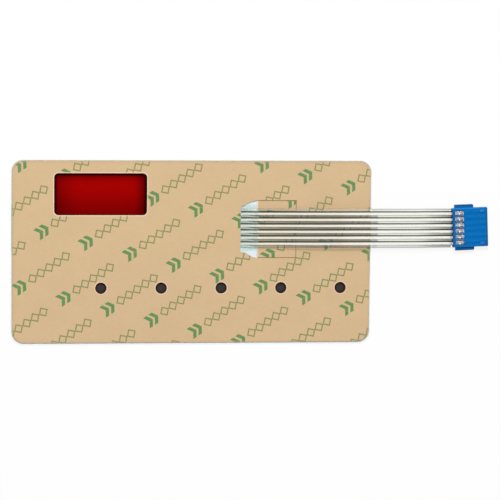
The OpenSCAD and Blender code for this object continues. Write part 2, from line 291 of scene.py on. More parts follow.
# from the nearest of an even number of lines, half of them to either side
def besideLine(across):
    steps = across / tailSetup["pitch"] + 0.5
    return (steps - steps.nearest()) * tailSetup["pitch"]


def besideConductor(x, y):
    lean = (x - tailSetup["level"]).low(0.0) * tailSetup["slope"]
    return besideLine(y - lean - tailMiddle)


# places on the connector: along it from its rear, across it, and across its nearest contact
sockets = [mount for mount in mounts if mount["name"] == "connector_sockets"][0]
connectorSetup = {"length": 15.2, "half": 8.35, "crimpFrom": 1.4, "crimpTo": 4.8}


def placeOnConnector(x, y):
    forward, sideways = sockets["axis"][:2]
    fromFrontX = x - sockets["pos_m"][0] / mm
    fromFrontY = y - sockets["pos_m"][1] / mm
    along = fromFrontX * forward + fromFrontY * sideways + connectorSetup["length"]
    across = fromFrontY * forward - fromFrontX * sideways
    return along, across, besideLine(across)


# kraft release liner, printed with rows of chevrons and lozenges
linerSetup = {
    "paper": (0.655, 0.470, 0.264),
    "paperShade": (0.584, 0.411, 0.229),
    "paperTones": (0.25, 0.75),     # values of the noise, from the one colour to the other
    "fibreDark": (0.50, 0.33, 0.165),
    "speckTones": (0.70, 0.78),
    "speckShare": 0.35,
    "rough": (0.46, 0.2),       # least, and how much the grain adds
    "gloss": 0.35,
    "corner": 4.5,
    "rim": (0.50, 0.35, 0.19),
    "rimWidth": (1.3, 0.1),     # pairs of mm: where a mark starts, and where it is full
    "rimShare": 0.3,
    "cutEdge": (0.90, 0.66, 0.50),
    "lampEdge": (0.65, 0.2),
    "windowEdge": (0.8, 0.3),
    "cutShare": 0.7,
    # painted shadow, dark red-brown, on the paper right beside its cut edges at the lamp holes and the
    # window
    "cutShadow": (0.11, 0.012, 0.008),
    "lampShadow": (0.16, 0.08),
    "windowShadow": (0.18, 0.08),
    "patchEdge": (0.82, 0.70, 0.63),
    "patchWidth": (0.6, 0.15),
    "patchShare": 0.85,
    "kissCut": (0.30, 0.175, 0.075),
    "kissWidth": (0.27, 0.16),
    "kissFrom": (0.4, 0.7),
    "kissShare": 0.5,
    "ink": (0.075, 0.235, 0.068),
    "inkCover": (0.6, 0.35),    # least where it is worn, and how much more where it isn't
    "inkThin": (0.185, 0.225, 0.075),
    "thinCover": (0.5, 0.4),
    "wornTones": (0.25, 0.55),
    "inkSoft": 0.06,
    "rowAngle": 34.0,           # degrees up from +X
    "rowPitch": 14.2,           # mm between printed rows
    "period": 33.5,             # mm along a row
    "rowShift": 0.38,           # share of a period that each row is moved along
    "chevrons": (-9.6, -6.9),
    "chevronReach": 2.6,
    "chevronSlope": 0.62,
    "chevronHalf": 0.82,
    "firstLozenge": -2.8,
    "lozengePitch": 4.15,
    "lastLozenge": 4,
    "lozengeReach": 1.9,
    "lineHalf": 0.27,
}


def printMasks(x, y, shift):
    s = linerSetup
    turn = math.radians(s["rowAngle"])
    along = x * math.cos(turn) + y * math.sin(turn) + shift[0]
    across = y * math.cos(turn) - x * math.sin(turn) + shift[1]
    row = (across / s["rowPitch"]).nearest()
    offRow = (across - row * s["rowPitch"]).size()
    moved = along + row * (s["period"] * s["rowShift"])
    inRow = moved - (moved / s["period"]).nearest() * s["period"]
    strokes = [(inRow - place + offRow * s["chevronSlope"]).size() for place in s["chevrons"]]
    bold = strokes[0].low(strokes[1]).below(s["chevronHalf"], s["inkSoft"])
    bold = bold * offRow.below(s["chevronReach"], s["inkSoft"])
    beside = besideMark(inRow - s["firstLozenge"], s["lozengePitch"], s["lastLozenge"]).size()
    offLine = (beside + offRow - s["lozengeReach"]).size() * math.sqrt(0.5)
    return bold, offLine.below(s["lineHalf"], s["inkSoft"])


def makeLiner(name, shift, hasCuts):
    s = linerSetup
    material, tree = newMaterial(name)
    place, (x, y, _) = placeOnPart(tree)
    cloud = grain(tree, place, (0.05, 0.07, 0.05), detail=3.0)
    fibres = grain(tree, place, (0.55, 3.2, 1.0), detail=4.0, rough=0.6)
    cross = grain(tree, place, (4.0, 1.1, 1.0), detail=3.0, rough=0.6)
    specks = grain(tree, place, (2.6, 5.2, 1.0), detail=1.0).ramp(*s["speckTones"])
    blots = grain(tree, place, (1.6, 1.6, 1.0), detail=2.0)
    tone = (cloud * 0.3 + fibres * 0.4 + cross * 0.3).ramp(*s["paperTones"])
    color = mixColor(tree, tone, s["paperShade"], s["paper"])
    color = mixColor(tree, specks * s["speckShare"], color, s["fibreDark"])
    bold, thin = printMasks(x, y, shift)
    unworn = (fibres * 0.5 + blots * 0.5).ramp(*s["wornTones"])
    color = mixColor(tree, thin * unworn.scaled(*s["thinCover"]), color, s["inkThin"])
    color = mixColor(tree, bold * unworn.scaled(*s["inkCover"]), color, s["ink"])
    if hasCuts:
        cuts = toCuts(x, y)
        edge = cutMask(cuts, s["lampEdge"], s["windowEdge"])
        color = mixColor(tree, edge * s["cutShare"], color, s["cutEdge"])
        # painted shadow on the paper beside the cut edges
        color = mixColor(tree, cutMask(cuts, s["lampShadow"], s["windowShadow"]), color, s["cutShadow"])
        toRim = roundedRect(x, y, linerMiddle, linerHalf, s["corner"]) * -1.0
        color = mixColor(tree, toRim.ramp(*s["rimWidth"]) * s["rimShare"], color, s["rim"])
    else:
        openEdge = fromPatchLeft(x).ramp(*s["patchWidth"])
        color = mixColor(tree, openEdge * s["patchShare"], color, s["patchEdge"])
    kiss = patchDistance(x, y).size().ramp(*s["kissWidth"]) * fromPatchLeft(x).ramp(*s["kissFrom"])
    color = mixColor(tree, kiss * s["kissShare"], color, s["kissCut"])
    principled(
        tree,
        Base_Color=color,
        Roughness=fibres.scaled(*s["rough"]),
        Specular_IOR_Level=s["gloss"],
        Normal=bump(tree, fibres * 0.6 + cross * 0.4, depthMm=0.03, strength=0.35),
    )
    return material


dress(makeLiner("kraft liner", (0.0, 0.0), True), "release_liner")
dress(makeLiner("kraft patch", (11.0, 5.0), False), "patch_liner")
print("liner papers done")

# clear polyester of the circuit and its tail
filmSetup = {
    "tint": (0.962, 0.979, 0.998),
    "teal": (0.885, 0.938, 0.916),  # painted shade of the tail, a teal tint around the tail's root
    "tealAside": (2.6, 0.4),        # mm beside the tail
    "tealAlong": (9.0, 2.0),        # mm along it from its root
    # painted shade, dark red, at the film's cut edges around the window and the lamp holes
    "cut": (0.10, 0.02, 0.02),
    "lampEdge": (0.10, 0.04),
    "windowEdge": (0.08, -0.02),
    "haze": (0.80, 0.88, 0.87),
    "hazeShare": 0.012,
    "dustTones": (0.72, 0.80),
    "tailHaze": (0.86, 0.80, 0.77),
    "tailHazeFrom": (0.0, 0.02),    # share of haze
    "rough": (0.10, 0.08),
    "shine": (0.015, 0.9),          # share reflected when looked at square on, and how much more aslant
}
# tints at places in mm along X: over the conductors, between them, on the tail's two margins, and in a
# line below each conductor; their darker stops are painted shade of the tail and its conductors on the
# paper and the table, at the tail's root, past the panel's edge and near the housing
tailTints = {
    "over": [
        (27.0, (0.940, 0.945, 0.925)),
        (28.0, (0.974, 0.963, 0.926)),
        (62.0, (0.974, 0.963, 0.926)),
        (67.0, (0.996, 0.988, 0.960)),
        (75.0, (0.996, 0.988, 0.960)),
        (78.0, (1.0, 1.0, 0.985)),
        (109.8, (1.0, 1.0, 0.985)),
        (110.7, (0.86, 0.85, 0.86)),
        (111.7, (1.0, 1.0, 1.0)),
    ],
    "between": [
        (20.7, (0.810, 0.835, 0.815)),
        (24.0, (0.867, 0.896, 0.878)),
        (27.0, (0.867, 0.896, 0.878)),
        (28.0, (0.895, 0.957, 0.958)),
        (75.3, (0.895, 0.957, 0.958)),
        (75.7, (0.700, 0.705, 0.690)),
        (76.4, (0.660, 0.662, 0.650)),
        (78.2, (0.660, 0.665, 0.650)),
        (78.9, (0.880, 0.890, 0.858)),
        (80.6, (0.912, 0.924, 0.886)),
        (99.0, (0.912, 0.924, 0.886)),
        (104.9, (0.764, 0.776, 0.740)),
        (108.3, (0.640, 0.645, 0.630)),
        (110.7, (0.520, 0.525, 0.540)),
        (111.7, (0.940, 0.945, 0.960)),
    ],
    "upper": [
        (27.0, (0.878, 0.930, 0.912)),
        (28.0, (0.920, 0.975, 0.985)),
        (76.0, (0.920, 0.975, 0.985)),
        (76.3, (0.868, 0.880, 0.862)),
        (96.0, (0.925, 0.940, 0.922)),
        (109.0, (0.868, 0.882, 0.862)),
    ],
    "lower": [
        (27.0, (0.878, 0.930, 0.912)),
        (28.0, (0.900, 0.955, 0.965)),
        (76.0, (0.900, 0.955, 0.965)),
        (76.3, (0.780, 0.785, 0.775)),
        (78.2, (0.790, 0.795, 0.785)),
        (78.9, (0.868, 0.880, 0.862)),
        (96.0, (0.845, 0.858, 0.838)),
        (104.0, (0.785, 0.798, 0.778)),
        (109.0, (0.725, 0.738, 0.718)),
    ],
    "below": [
        (20.7, (0.740, 0.768, 0.752)),
        (22.4, (0.765, 0.797, 0.780)),
        (24.1, (0.845, 0.880, 0.860)),
        (25.6, (0.985, 0.990, 0.985)),
        (28.0, (0.985, 0.985, 0.985)),
        (75.3, (0.985, 0.985, 0.985)),
        (75.7, (0.740, 0.745, 0.730)),
        (76.4, (0.700, 0.705, 0.690)),
        (78.2, (0.710, 0.715, 0.700)),
        (78.9, (0.740, 0.750, 0.722)),
        (80.6, (0.735, 0.747, 0.713)),
        (99.0, (0.722, 0.734, 0.700)),
        (104.9, (0.590, 0.600, 0.568)),
        (108.3, (0.510, 0.515, 0.500)),
    ],
}
tintSetup = {
    "span": (20.0, 112.0),          # mm along X that the tints cover
    "belowWidth": 0.25,             # mm, the line under each conductor
    "side": (0.69, 0.88),           # how dark the film's lower and upper cut sides look over the panel
    "sidePast": (0.62, 0.88),       # and past it
    "sideChange": (75.5, 76.5),     # mm along X
    "sideWidth": 0.3,
    "gloom": (0.45, 0.46, 0.44),    # painted shade in the lower gaps near the connector
    "gloomFrom": (94.0, 104.0),
    "gloomShare": 0.3,
    "rimLine": (0.93, 0.93, 0.92),  # on the conductors' dark edges at the panel's edge
    "rimStart": (75.2, 75.7),
    "rimEnd": (79.0, 78.2),
}


def tintAlong(tree, x, stops):
    start, end = tintSetup["span"]
    node = tree.nodes.new("ShaderNodeValToRGB")
    plug(tree, (x - start) / (end - start), node.inputs[0])
    ramp = node.color_ramp
    while len(ramp.elements) < len(stops):
        ramp.elements.new(1.0)
    for element, (place, tint) in zip(ramp.elements, stops):
        element.position = (place - start) / (end - start)
        element.color = (*tint, 1.0)
    return Wire(tree, node.outputs[0])


def tailTint(tree, x, y, plain):
    s = tintSetup
    low, high = tailSetup["band"]
    tints = {name: tintAlong(tree, x, stops) for name, stops in tailTints.items()}
    across = besideConductor(x, y)
    up = y - tailMiddle
    aside = up.size()
    over = across.above(low, soft=0.04) * across.below(high, soft=0.04)
    tint = mixColor(tree, over, tints["between"], tints["over"])
    upper = up.above(0.0, soft=0.1)
    margin = mixColor(tree, upper, tints["lower"], tints["upper"])
    tint = mixColor(tree, aside.above(conductorReach, soft=0.05), tint, margin)
    below = across.below(-conductorHalf, soft=0.02)
    below = below * across.above(-conductorHalf - s["belowWidth"], soft=0.05)
    tint = mixColor(tree, below, tint, tints["below"])
    # painted shade in the lower gaps near the connector
    gloom = up.below(0.0, soft=tailHalf) * x.ramp(*s["gloomFrom"]) * over.scaled(1.0, -1.0)
    tint = mixColor(tree, gloom * s["gloomShare"], tint, s["gloom"])
    rimLine = across.above(high + 0.02, soft=0.02) * across.below(conductorHalf, soft=0.02)
    rimLine = rimLine * x.ramp(*s["rimStart"]) * x.ramp(*s["rimEnd"])
    tint = mixColor(tree, rimLine, tint, s["rimLine"])
    sides = [
        mixColor(tree, upper, *[(dark,) * 3 for dark in s[name]]) for name in ("side", "sidePast")
    ]
    sideTint = mixColor(tree, x.ramp(*s["sideChange"]), *sides)
    tint = mixColor(tree, aside.above(tailHalf - s["sideWidth"] + 0.05, soft=0.05), tint, sideTint)
    onTail = x.above(tailRoot, soft=0.05) * aside.below(tailHalf + 0.25, soft=0.05)
    return mixColor(tree, onTail, plain, tint)


# the tail's film is a little cloudy between its conductors, where it lies on the paper
hazeSetup = {
    "gap": 0.025,               # share of haze between the conductors
    "middle": (40.0, 46.0),     # mm along X, where the gaps turn cloudier
    "middleMore": 0.035,
    "far": (62.0, 67.0),        # and where they do so again
    "farMore": 0.03,
    "below": (0.13, 0.05),      # share in the line below each conductor, and how much more far out
    "belowEnd": (-0.35, -0.2),  # mm below a conductor's edge
    "paperStart": (27.6, 28.4),
    "paperEnd": (76.3, 75.9),
}


def tailHaze(x, y):
    s = hazeSetup
    across = besideConductor(x, y)
    aside = (y - tailMiddle).size()
    gap = across.size().above(conductorHalf, soft=0.03).top(aside.above(conductorReach, soft=0.03))
    below = across.below(-conductorHalf, soft=0.02) * (across + conductorHalf).ramp(*s["belowEnd"])
    far = x.ramp(*s["far"])
    share = gap * (x.ramp(*s["middle"]) * s["middleMore"] + far * s["farMore"] + s["gap"])
    share = share.top(below * far.scaled(*s["below"]))
    onPaper = x.ramp(*s["paperStart"]) * x.ramp(*s["paperEnd"])
    return share * onPaper * aside.below(tailHalf, soft=0.02)


def makeFilm(name, setup, hasTail):
    material, tree = newMaterial(name)
    place, (x, y, _) = placeOnPart(tree)
    streaks = grain(tree, place, (0.10, 2.2, 1.0), detail=3.0, rough=0.6)
    dust = grain(tree, place, (3.0, 3.0, 3.0), detail=1.0).ramp(*setup["dustTones"])
    tint = setup["tint"]
    milky = setup["haze"]
    hazeShare = (streaks + dust) * setup["hazeShare"]
    if hasTail:
        cloudy = tailHaze(x, y)
        milky = mixColor(tree, cloudy.ramp(*setup["tailHazeFrom"]), milky, setup["tailHaze"])
        hazeShare = hazeShare + cloudy
        # painted shade of the tail: a teal tint in the film around its root
        nearTail = ((y - tailMiddle).size() - tailHalf).ramp(*setup["tealAside"])
        nearTail = nearTail * (x - tailRoot).ramp(*setup["tealAlong"])
        tint = tailTint(tree, x, y, mixColor(tree, nearTail, tint, setup["teal"]))
    # painted shade at the cut edges
    atCut = cutMask(toCuts(x, y), setup["lampEdge"], setup["windowEdge"])
    tint = mixColor(tree, atCut, tint, setup["cut"])
    clear = plainShader(tree, "ShaderNodeBsdfTransparent", Color=tint)
    haze = plainShader(tree, "ShaderNodeBsdfDiffuse", Color=milky)
    gloss = plainShader(tree, "ShaderNodeBsdfGlossy", Roughness=streaks.scaled(*setup["rough"]))
    body = mixShader(tree, hazeShare, clear, haze)
    facing = tree.nodes.new("ShaderNodeLayerWeight")
    aslant = Wire(tree, facing.outputs["Facing"]).run("POWER", 5.0)
    showShader(tree, mixShader(tree, aslant.scaled(*setup["shine"]), body, gloss))
    return material


retainerSetup = dict(filmSetup, tint=(0.93, 0.95, 0.945), haze=(0.85, 0.88, 0.88), hazeShare=0.12)
dress(makeFilm("clear circuit film", filmSetup, True), "lower_circuit")
dress(makeFilm("clear dome film", retainerSetup, False), "dome_retainer")

# the glue layers, milky and soft
glueSetup = {
    "color": (0.80, 0.77, 0.68),
    "shade": (0.70, 0.66, 0.56),
    # painted shade, dark, at the glue's cut edges around the window and the lamp holes
    "cut": (0.06, 0.03, 0.025),
    "lampEdge": (0.12, 0.06),
    "windowEdge": (0.12, 0.06),
    "alpha": 0.7,
    "rough": (0.28, 0.15),
}


def makeGlue():
    s = glueSetup
    material, tree = newMaterial("clear glue")
    place, (x, y, _) = placeOnPart(tree)
    swirl = grain(tree, place, (0.9, 0.9, 6.0), detail=3.0)
    color = mixColor(tree, swirl.ramp(*midTones), s["shade"], s["color"])
    # painted shade at the cut edges
    atCut = cutMask(toCuts(x, y), s["lampEdge"], s["windowEdge"])
    principled(
        tree,
        Base_Color=mixColor(tree, atCut, color, s["cut"]),
        Roughness=swirl.scaled(*s["rough"]),
        Alpha=s["alpha"],
        Normal=bump(tree, swirl, depthMm=0.02, strength=0.4),
    )
    return material


dress(makeGlue(), "overlay_adhesive", "rear_adhesive", "patch_adhesive")

# white polyester spacer
spacerSetup = {
    "color": (0.94, 0.965, 0.965),
    "shade": (0.90, 0.930, 0.935),
    # painted shade, dark red at the window's cut edge and near black at the lamp holes' cut edges
    "windowCut": (0.040, 0.004, 0.004),
    "windowEdge": (0.15, 0.05),
    "lampCut": (0.010, 0.006, 0.005),
    "lampEdge": (0.12, 0.06),
    "slit": (0.60, 0.715, 0.675),       # painted shade under the slits beside the tail
    "kissCut": (0.42, 0.30, 0.19),
    "kissWidth": (0.3, 0.2),
    "kissFrom": (0.0, 0.3),
    "glueLine": (0.66, 0.49, 0.30),     # glue pressed out past the paper
    "glueInset": 0.31,                  # mm, from the panel's outline
    "glueShift": (-0.04, 0.19),
    "glueSoft": 0.06,
    "glueFrom": (-0.3, -0.1),           # mm from the paper's edge
    "corner": 4.7,
    "rough": (0.38, 0.16),
}


def makeSpacer():
    s = spacerSetup
    material, tree = newMaterial("white spacer film")
    place, (x, y, _) = placeOnPart(tree)
    cloud = grain(tree, place, (0.18, 0.5, 1.0), detail=3.0)
    fine = grain(tree, place, (6.0, 6.0, 6.0), detail=2.0)
    color = mixColor(tree, cloud.ramp(*midTones), s["shade"], s["color"])
    # painted shade in the slits beside the tail
    fromTail = (y - tailMiddle).size() - tailHalf
    inSlit = fromTail.above(-0.2, soft=0.1) * fromTail.below(tailSetup["slit"], soft=0.05)
    inSlit = inSlit * x.above(tailRoot - 0.15, soft=0.15)
    color = mixColor(tree, inSlit, color, s["slit"])
    kiss = patchDistance(x, y).ramp(*s["kissWidth"]) * fromPatchLeft(x).ramp(*s["kissFrom"])
    color = mixColor(tree, kiss, color, s["kissCut"])
    glueHalf = [half - s["glueInset"] for half in panelHalf]
    toGlue = roundedRect(x, y, s["glueShift"], glueHalf, s["corner"])
    toLiner = roundedRect(x, y, linerMiddle, linerHalf, s["corner"])
    pressedOut = toGlue.below(0.0, s["glueSoft"]) * toLiner.ramp(*s["glueFrom"])
    color = mixColor(tree, pressedOut, color, s["glueLine"])
    # painted shade at the window's and the lamp holes' cut edges
    toLamp, toWindow = toCuts(x, y)
    color = mixColor(tree, toWindow.ramp(*s["windowEdge"]), color, s["windowCut"])
    principled(
        tree,
        Base_Color=mixColor(tree, toLamp.ramp(*s["lampEdge"]), color, s["lampCut"]),
        Roughness=fine.scaled(*s["rough"]),
        Normal=bump(tree, fine, depthMm=0.01, strength=0.3),
    )
    return material


dress(makeSpacer(), "dome_spacer")
print("films and glue done")

# printed silver: a bright band with a dark line along its upper edge and a grey one along its lower
silverSetup = {
    "bright": (0.98, 0.975, 0.955),
    "worn": (0.93, 0.92, 0.89),
    "wornTones": (0.3, 0.6),
    "edge": (0.040, 0.038, 0.032),
    "edgeAtRoot": (0.17, 0.22, 0.17),   # lit by the white film around it
    "rootEnd": (28.4, 27.6),            # mm along X
    "edgePast": (0.10, 0.103, 0.083),   # painted light from the pale table: the dark line lighter past the panel
    "pastFrom": (75.0, 76.5),
    "under": (0.36, 0.36, 0.34),
    "bandSoft": 0.04,
    "inHousing": (0.96, 0.96, 1.0),
    "housingFrom": (-0.2, 1.0),         # mm along the connector
    "rough": (0.30, 0.2),
    "metal": 0.05,
}


def makeSilver():
    s = silverSetup
    material, tree = newMaterial("printed silver")
    place, (x, y, _) = placeOnPart(tree)
    streaks = grain(tree, place, (0.08, 9.0, 1.0), detail=3.0, rough=0.6)
    flakes = grain(tree, place, (7.0, 7.0, 7.0), detail=2.0)
    across = besideConductor(x, y)
    onTail = x.above(tailRoot, soft=0.2)
    low, high = tailSetup["band"]
    color = mixColor(tree, (streaks * 0.6 + flakes * 0.4).ramp(*s["wornTones"]), s["worn"], s["bright"])
    color = mixColor(tree, across.below(low, s["bandSoft"]) * onTail, color, s["under"])
    edge = mixColor(tree, x.ramp(*s["rootEnd"]), s["edge"], s["edgeAtRoot"])
    edge = mixColor(tree, x.ramp(*s["pastFrom"]), edge, s["edgePast"])
    color = mixColor(tree, across.above(high, s["bandSoft"]) * onTail, color, edge)
    along = placeOnConnector(x, y)[0]
    color = mixColor(tree, along.ramp(*s["housingFrom"]), color, s["inHousing"])
    principled(
        tree,
        Base_Color=color,
        Metallic=s["metal"],
        Roughness=flakes.scaled(*s["rough"]),
        Normal=bump(tree, flakes, depthMm=0.006, strength=0.3),
    )
    return material


dress(makeSilver(), "silver_conductors")

# steel of the snap domes, brushed along the strip that they are pressed from
steelSetup = {"color": (0.62, 0.62, 0.61), "shade": (0.45, 0.45, 0.45), "rough": (0.28, 0.2)}


def makeSteel():
    s = steelSetup
    material, tree = newMaterial("dome steel")
    brushed = grain(tree, placeOnPart(tree)[0], (0.6, 14.0, 1.0), detail=3.0)
    principled(
        tree,
        Base_Color=mixColor(tree, brushed.ramp(*midTones), s["shade"], s["color"]),
        Metallic=1.0,
        Roughness=brushed.scaled(*s["rough"]),
    )
    return material


dress(makeSteel(), *[name for name in nodes if name.startswith("snap_dome")])

# tinted filter behind the window, with painted shade that darkens it towards its rim and its sides
filterSetup = {
    "middle": (0.362, 0.0004, 0.0004),
    "rim": (0.006, 0.0001, 0.0001),
    "lowBleed": 1.3,            # mm that the light reaches under the lower edge
    "rimFade": (-0.2, 1.55),    # pairs of mm from an edge, and the shares of light that go with them
    "cloudLight": (0.92, 0.16),
    "leftFade": (-1.0, 11.0),
    "leftLight": (0.58, 0.42),
    "rightFade": (0.6, 5.6),
    "rightLight": (0.44, 0.56),
    "topFade": (0.2, 4.2),
    "topLight": (0.58, 0.42),
    "lowFade": (16.5, 5.0),
    "lowLight": (0.62, 0.38),
    "rough": (0.16, 0.08),
    "gloss": 0.06,
    "alpha": 0.9,
}


def makeFilter():
    s = filterSetup
    material, tree = newMaterial("red filter")
    place, (x, y, _) = placeOnPart(tree)
    cloud = grain(tree, place, (0.12, 0.16, 1.0), detail=2.0)
    litMiddle = (windowMiddle[0], windowMiddle[1] - s["lowBleed"] / 2)
    litHalf = (windowHalf[0], windowHalf[1] + s["lowBleed"] / 2)
    depth = roundedRect(x, y, litMiddle, litHalf, windowSetup["radius"]) * -1.0
    fromLeft = x - (windowMiddle[0] - windowHalf[0])
    toRight = x * -1.0 + (windowMiddle[0] + windowHalf[0])
    fromTop = y * -1.0 + (windowMiddle[1] + windowHalf[1])
    light = depth.ramp(*s["rimFade"]) * cloud.scaled(*s["cloudLight"])
    for distance, side in ((fromLeft, "left"), (toRight, "right"), (fromTop, "top"), (fromTop, "low")):
        light = light * distance.ramp(*s[side + "Fade"]).scaled(*s[side + "Light"])
    principled(
        tree,
        Base_Color=mixColor(tree, light, s["rim"], s["middle"]),
        Roughness=cloud.scaled(*s["rough"]),
        Specular_IOR_Level=s["gloss"],
        Alpha=s["alpha"],
    )
    return material


dress(makeFilter(), "display_filter")

# graphic overlay: dark textured film with a red window, key frames on its face, and a ring of painted
# shade inside each lamp hole behind it, along the hole's wall
overlaySetup = {
    "print": (0.025, 0.015, 0.015),
    "printLight": (0.032, 0.026, 0.027),
    # painted shade in a ring inside each lamp hole, along its wall
    "holeShade": (0.014, 0.005, 0.0006),
    "holeShadeWidth": (-1.2, -0.5),      # mm from the hole's rim
    "window": (0.20, 0.0004, 0.0004),
    "windowSoft": 0.06,
    "faceHeight": (0.06, 0.02),     # mm above the table, up to where the face's print goes
    "frame": (0.55, 0.56, 0.57),
    "frameHalf": 0.2,
    "frameSoft": 0.05,
    "keyRow": -26.95,
    "keyHalf": (9.2, 6.6),
    "keyRadius": 2.0,
    "rough": (0.45, 0.2),
}


def makeOverlay():
    s = overlaySetup
    material, tree = newMaterial("overlay film")
    place, (x, y, z) = placeOnPart(tree)
    fine = grain(tree, place, (5.0, 5.0, 5.0), detail=2.0)
    color = mixColor(tree, fine.ramp(*midTones), s["print"], s["printLight"])
    toKey = roundedRect(besideLamp(x), y, (0.0, s["keyRow"]), s["keyHalf"], s["keyRadius"])
    onFace = z.ramp(*s["faceHeight"])
    keyLine = toKey.size().below(s["frameHalf"], s["frameSoft"]) * onFace
    color = mixColor(tree, keyLine, color, s["frame"])
    # painted shade inside each lamp hole, near its wall
    holeShadeMask = lampDistance(x, y).ramp(*s["holeShadeWidth"])
    color = mixColor(tree, holeShadeMask * onFace.scaled(1.0, -1.0), color, s["holeShade"])
    color = mixColor(tree, windowDistance(x, y).below(0.0, s["windowSoft"]), color, s["window"])
    principled(
        tree,
        Base_Color=color,
        Roughness=fine.scaled(*s["rough"]),
        Normal=bump(tree, fine, depthMm=0.012, strength=0.5),
    )
    return material


dress(makeOverlay(), "graphic_overlay")
print("overlay and filter done")

# moulded blue housing
housingSetup = {
    "color": (0.0012, 0.162, 0.482),
    "shade": (0.0008, 0.142, 0.444),
    "overCavity": (0.0004, 0.105, 0.360),     # darker over each cavity
    "cavityAt": -0.3,                     # mm across the contact under it
    "cavityWidth": (1.05, 0.15),
    "cavityInside": (-0.6, -1.0),         # mm from the body's sides
    "cavityShare": 0.6,
    "dark": (0.006, 0.052, 0.150),      # painted shade along its outer edges and on its wings
    "rearEdge": (0.7, 0.1),
    "frontEdge": (1.2, 0.05),
    "wingEdge": (0.6, 1.3),
    "edgeShare": 0.75,
    "wingFrom": (-0.1, 0.2),
    "wingShare": 0.3,
    "rib": (0.13, 0.20, 0.34),          # between the crimps, lit by the tin
    "ribRear": (-0.1, 0.2),             # mm from the crimps' rear ends
    "ribFront": (-0.1, 0.3),            # mm from their front ends
    "ribInside": (-1.0, -1.3),
    "ribShare": 0.7,
    "rough": (0.20, 0.16),
    "gloss": 0.22,
    "bevel": 0.12,                      # mm, how far the edges look rounded
}


def makeHousing():
    s = housingSetup
    material, tree = newMaterial("blue moulded plastic")
    place, (x, y, _) = placeOnPart(tree)
    flow = grain(tree, place, (0.25, 0.7, 0.7), detail=3.0)
    fine = grain(tree, place, (9.0, 9.0, 9.0), detail=2.0)
    rounded = tree.nodes.new("ShaderNodeBevel")
    rounded.samples = 6
    rounded.inputs["Radius"].default_value = s["bevel"] * mm
    dimple = bump(tree, fine, depthMm=0.008, strength=0.35)
    tree.links.new(rounded.outputs[0], dimple.socket.node.inputs["Normal"])
    along, across, fromContact = placeOnConnector(x, y)
    toFront = along * -1.0 + connectorSetup["length"]
    out = across.size() - connectorSetup["half"]
    # painted shade along the rear, front and wing edges
    edge = along.ramp(*s["rearEdge"]).top(toFront.ramp(*s["frontEdge"])).top(out.ramp(*s["wingEdge"]))
    color = mixColor(tree, flow.ramp(*midTones), s["shade"], s["color"])
    overCavity = (fromContact - s["cavityAt"]).size().ramp(*s["cavityWidth"]) * out.ramp(*s["cavityInside"])
    color = mixColor(tree, overCavity * s["cavityShare"], color, s["overCavity"])
    # painted shade on the wings
    color = mixColor(tree, out.ramp(*s["wingFrom"]) * s["wingShare"], color, s["dark"])
    fromCrimp = along - connectorSetup["crimpFrom"]
    toCrimpEnd = along * -1.0 + connectorSetup["crimpTo"]
    onRib = fromCrimp.ramp(*s["ribRear"]) * toCrimpEnd.ramp(*s["ribFront"]) * out.ramp(*s["ribInside"])
    color = mixColor(tree, onRib * s["ribShare"], color, s["rib"])
    principled(
        tree,
        Base_Color=mixColor(tree, edge * s["edgeShare"], color, s["dark"]),
        Roughness=fine.scaled(*s["rough"]),
        Specular_IOR_Level=s["gloss"],
        Normal=dimple,
    )
    return material


dress(makeHousing(), "connector_housing")

# bright tin on the crimps and sockets, with a painted highlight along each crimp and painted shade in
# its seam, on its upper flank and at its ends
tinSetup = {
    "color": (0.97, 0.97, 0.98),
    "shade": (0.45, 0.45, 0.48),
    "cloudTones": (0.40, 0.55),
    "paintedHighlight": (1.0, 1.0, 1.0),
    "highlightLine": 0.22,             # mm across the contact, the line of painted highlight
    "highlightWidth": (0.38, 0.18),
    "ridge": -0.05,             # mm across the contact, the curl beside the bright line
    "ridgeWidth": (0.34, 0.12),
    "ridgeHeight": 0.6,
    # painted shade in the seam where the tines meet, on the upper flank and at the crimp's ends
    "recess": (0.060, 0.058, 0.070),
    "seam": -0.27,              # mm across the contact, where the curled tines meet
    "seamWidth": (0.29, 0.15),
    "seamDim": (0.75, -0.6),    # how dark it is where it gapes, and the change where it is closed
    "crestStart": (2.55, 2.85),     # mm along the connector, where the seam closes
    "crestEnd": (3.85, 3.55),
    "flank": (0.46, 0.72),      # mm across the contact
    "flankDim": 0.35,
    "rearEnd": (0.4, 0.0),      # mm from the crimp's rear end
    "frontEnd": (0.6, 0.2),     # mm from its front end
    "endDim": 0.4,
    "rough": (0.16, 0.2),
    "metal": 0.6,
}


